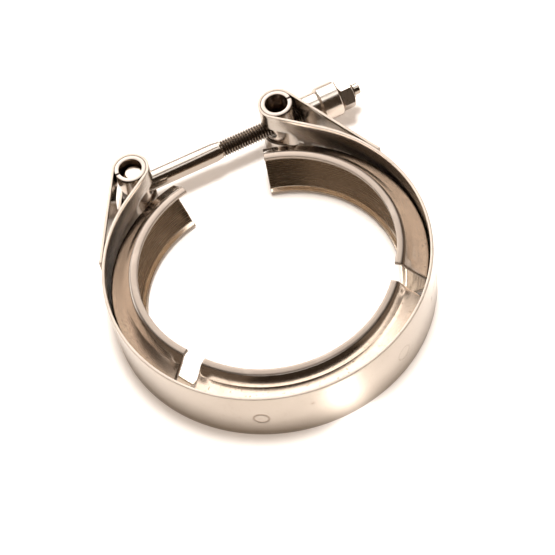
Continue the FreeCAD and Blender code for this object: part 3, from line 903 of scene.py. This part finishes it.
# Marks on the strip's outside: ring angle, height and radius, then how round and deep they are
weldSettings = (
    {"angle": 242.1, "height": -0.5, "radius": 2.5,
     "width": 0.6, "wobble": 0.15, "depth": 0.12, "stain": 0.9},
    {"angle": 297.3, "height": -0.9, "radius": 2.9,
     "width": 0.5, "wobble": 0.3, "depth": 0.05, "stain": 0.4},
    {"angle": 260.0, "height": 4.0, "radius": 0.5,  # a faint spot in the finish
     "width": 1.2, "wobble": 0.6, "depth": 0.04, "stain": 0.35},
)


def addWeldMarks(tree, layers):
    ringStart = stripPath().marks[4]
    ringRadius = ringSettings["radius"] - ringSettings["thickness"] / 2
    for mark in weldSettings:
        station = ringStart + ringRadius * (math.radians(mark["angle"]) - leftLoop["inner"])
        ring = addNode(tree, "ShaderNodeGroup", {
            "Along": station * flatScale, "Across": mark["height"] * flatScale,
            "Radius": mark["radius"] * flatScale, "Width": mark["width"] * flatScale,
            "Wobble": mark["wobble"] * flatScale,
        }, node_tree=groups["weldMark"]).outputs
        bump = addNode(tree, "ShaderNodeBump", {
            "Height": calculate(tree, "SUBTRACT", ring["Ridge"], ring["Sunk"]),
            "Distance": mark["depth"] * mm, "Normal": layers["normal"],
        })
        layers["normal"] = bump.outputs["Normal"]
        layers["tarnish"] = calculate(
            tree, "MULTIPLY_ADD", ring["Ridge"], mark["stain"], layers["tarnish"], clamp=True
        )


def addLipWear(tree, layers):
    # The lips are worn duller and darker than the pressed flanks
    fade, stain, dulling = 0.3, 0.92, 0.2
    middle = sectionPath(segmentSettings["sideRadius"]).marks[-1] / 2
    band = addNode(tree, "ShaderNodeGroup", {
        "Middle": middle * flatScale,
        "Reach": (middle - segmentSettings["lipWear"]) * flatScale,
        "Softness": fade * flatScale,
    }, node_tree=groups["edgeBand"]).outputs["Band"]
    layers["tarnish"] = calculate(
        tree, "MULTIPLY_ADD", band, stain, layers["tarnish"], clamp=True
    )
    layers["rough"] = calculate(tree, "MULTIPLY_ADD", band, dulling, layers["rough"])


# The soft boxes are seen in the metal; their azimuths count from the rear to the right
stageSettings = {
    "floor": (0.84, 0.80, 0.76),
    "glow": (1.0, 0.87, 0.78),
    "lift": 0.2,
    "skyFill": 0.62,
    "skyBase": 0.05,
    "skyShade": (1.0, 0.68, 0.42),
    "fillTint": (1.0, 0.86, 0.74),
    "softBoxes": (
        {"azimuth": 8, "reach": 36, "low": 4, "high": 36, "level": 0.8},
        {"azimuth": -18, "reach": 34, "low": 9, "high": 36, "level": 2.0},
        {"azimuth": 8, "reach": 38, "low": 34, "high": 90, "level": 3.2},
        {"azimuth": 4, "reach": 30, "low": 25, "high": 52, "level": 7.0},
        {"azimuth": 165, "reach": 90, "low": 66, "high": 90, "level": 2.8},
        {"azimuth": 100, "reach": 45, "low": 3, "high": 50, "level": 0.25},
        {"azimuth": -95, "reach": 40, "low": 10, "high": 80, "level": 0.2},
    ),
}


def makeStage():
    size, clearance = 3.0, 0.00002
    bm = bmesh.new()
    bmesh.ops.create_grid(bm, x_segments=1, y_segments=1, size=size)
    mesh = bpy.data.meshes.new("floor")
    bm.to_mesh(mesh)
    bm.free()
    floor = bpy.data.objects.new("floor", mesh)
    floor.location = (0, 0, cadLow.z - clearance)
    bpy.context.collection.objects.link(floor)
    material = bpy.data.materials.new("paleFloor")
    material.use_nodes = True
    tree = material.node_tree
    tree.nodes.clear()
    seen = addNode(tree, "ShaderNodeLightPath").outputs["Is Camera Ray"]
    paint = addNode(tree, "ShaderNodeBsdfDiffuse", {"Color": (*stageSettings["floor"], 1)})
    glow = addNode(tree, "ShaderNodeEmission", {
        "Color": (*stageSettings["glow"], 1),
        "Strength": calculate(tree, "MULTIPLY", seen, stageSettings["lift"]),
    })
    both = addNode(tree, "ShaderNodeAddShader", {0: paint.outputs[0], 1: glow.outputs[0]})
    addNode(tree, "ShaderNodeOutputMaterial", {"Surface": both.outputs[0]})
    floor.data.materials.append(material)


def softBox(tree, heading, height, box):
    # How bright a soft light of box shape is along each direction
    blur, softness = 6, 0.04  # of the sides in degrees, and of the top and bottom in height
    azimuth, reach = math.radians(box["azimuth"]), box["reach"]
    facing = addNode(tree, "ShaderNodeVectorMath", {
        0: heading, 1: (math.sin(azimuth), math.cos(azimuth), 0),
    }, operation="DOT_PRODUCT")
    across = addNode(tree, "ShaderNodeMapRange", {
        "Value": facing.outputs["Value"],
        "From Min": math.cos(math.radians(reach + blur)),
        "From Max": math.cos(math.radians(reach - blur)),
    })
    above = calculate(tree, "SUBTRACT", height, math.sin(math.radians(box["low"])))
    above = calculate(tree, "DIVIDE", above, softness, clamp=True)
    below = calculate(tree, "SUBTRACT", math.sin(math.radians(box["high"])), height)
    below = calculate(tree, "DIVIDE", below, softness, clamp=True)
    inside = calculate(tree, "MULTIPLY", above, below)
    inside = calculate(tree, "MULTIPLY", inside, across.outputs[0])
    return calculate(tree, "MULTIPLY", inside, box["level"])


def makeWorld():
    # The metal mirrors the soft boxes, other rays get an even fill, and the camera sees white
    world = bpy.data.worlds.new("studio")
    bpy.context.scene.world = world
    world.use_nodes = True
    tree = world.node_tree
    tree.nodes.clear()
    direction = addNode(tree, "ShaderNodeTexCoord").outputs["Generated"]
    parts = addNode(tree, "ShaderNodeSeparateXYZ", {"Vector": direction}).outputs
    level = addNode(tree, "ShaderNodeCombineXYZ", {"X": parts["X"], "Y": parts["Y"]})
    heading = addNode(
        tree, "ShaderNodeVectorMath", {0: level.outputs[0]}, operation="NORMALIZE"
    ).outputs["Vector"]
    shaped = stageSettings["skyBase"]
    for box in stageSettings["softBoxes"]:
        shaped = calculate(tree, "MAXIMUM", shaped, softBox(tree, heading, parts["Z"], box))
    path = addNode(tree, "ShaderNodeLightPath").outputs
    fill = addNode(tree, "ShaderNodeMix", {
        "Factor": path["Is Glossy Ray"], 2: stageSettings["skyFill"], 3: shaped,
    }, data_type="FLOAT")
    strength = calculate(tree, "MAXIMUM", fill.outputs[0], path["Is Camera Ray"])
    white = (1, 1, 1, 1)
    mirrored = mixColours(tree, shaped, (*stageSettings["skyShade"], 1), white)
    colour = mixColours(
        tree, path["Is Glossy Ray"], (*stageSettings["fillTint"], 1), mirrored
    )
    colour = mixColours(tree, path["Is Camera Ray"], colour, white)
    sky = addNode(tree, "ShaderNodeBackground", {"Color": colour, "Strength": strength})
    addNode(tree, "ShaderNodeOutputWorld", {"Surface": sky.outputs[0]})


# Disk lamps, never seen themselves: one from above, and two patches close to the floor that
# brighten what the strip mirrors
lampSettings = (
    {"name": "overhead", "spot": (70, 75, 880), "size": 260, "power": 10.5, "down": False},
    {"name": "frontPatch", "spot": (4, -65, -4), "size": 13, "power": 0.003, "down": True},
    {"name": "sidePatch", "spot": (56, -22, -4), "size": 13, "power": 0.0007, "down": True},
)


def makeLamp(lamp):
    data = bpy.data.lights.new(lamp["name"], "AREA")
    data.shape = "DISK"
    data.size = lamp["size"] * mm
    data.energy = lamp["power"]
    piece = bpy.data.objects.new(lamp["name"], data)
    piece.location = Vector(lamp["spot"]) * mm
    if not lamp["down"]:
        piece.rotation_euler = Vector(lamp["spot"]).to_track_quat("Z", "Y").to_euler()
    piece.visible_glossy = False
    piece.visible_camera = False
    bpy.context.collection.objects.link(piece)


# Azimuth 0 looks along +Y, and roll turns the view about its own line
viewSettings = {
    "azimuth": 14.44,
    "elevation": 56.02,
    "roll": -12.68,
    "aim": (3.22, 4.44, -11.04),
    "distance": 662.7,
    "lens": 126.5,
}


def makeCamera():
    view = viewSettings
    az, el, roll = (math.radians(view[name]) for name in ("azimuth", "elevation", "roll"))
    forward = Vector((
        math.sin(az) * math.cos(el), math.cos(az) * math.cos(el), -math.sin(el),
    ))
    right = Vector((math.cos(az), -math.sin(az), 0))
    up = right.cross(forward)
    rolledRight = math.cos(roll) * right + math.sin(roll) * up
    rolledUp = math.cos(roll) * up - math.sin(roll) * right
    turn = Matrix((rolledRight, rolledUp, -forward)).transposed()
    data = bpy.data.cameras.new("camera")
    data.lens = view["lens"]
    data.sensor_width = 36
    data.clip_start = 0.01
    camera = bpy.data.objects.new("camera", data)
    spot = Vector(view["aim"]) * mm - forward * view["distance"] * mm
    camera.matrix_world = Matrix.Translation(spot) @ turn.to_4x4()
    bpy.context.collection.objects.link(camera)
    bpy.context.scene.camera = camera


def makeSegments(cutSteel):
    # The base segment lies evenly about its contact, the side ones an equal gap from its ends
    part = segmentSettings
    # The inner faces get the darker, browner copy of the finish as painted shade
    steels = (steel("segment"), cutSteel, steel("segmentInsideShade"))
    side, base = part["sideRadius"], part["baseRadius"]
    sideSpan = math.degrees(part["length"] / side)
    baseSpan = math.degrees(part["length"] / base)
    baseStart = part["baseContact"] - baseSpan / 2
    leftStart = baseStart - part["gapAngle"] - sideSpan
    rightStart = baseStart + baseSpan + part["gapAngle"]
    for name, node, radius, contact, start in (
        ("leftSegment", "left_segment", side, part["leftContact"], leftStart),
        ("baseSegment", "base_segment", base, part["baseContact"], baseStart),
        ("rightSegment", "right_segment", side, part["rightContact"], rightStart),
    ):
        makeSegment(name, node, radius, contact, start, *steels)


makeCamera()
makeStage()
makeWorld()
for lamp in lampSettings:
    makeLamp(lamp)
bpy.context.scene.view_settings.view_transform = "Standard"
print("stage, lamps and camera made")

cutEdge = steel("cutEdge")
# The strip's inner face gets the slightly darker copy of its finish as painted shade
makeBand(steel("band"), cutEdge, steel("bandInsideShade"))
print("strip made")
makeSegments(cutEdge)
print("segments made")
tubeSteel = steel("trunnion")
trunnionSteel = (tubeSteel, steel("tubeEdge"), tubeSteel)
makeTrunnion("leftTrunnion", "left_trunnion", trunnionSettings["leftX"], 0, *trunnionSteel)
makeTrunnion("rightTrunnion", "right_trunnion", trunnionSettings["rightX"], 180, *trunnionSteel)
print("trunnions made")
makeBolt(steel("bolt"), steel("threadRootShade"))
makeSleeve(steel("sleeve"))
makeNut(steel("nut"))
print("bolt, sleeve and nut made")
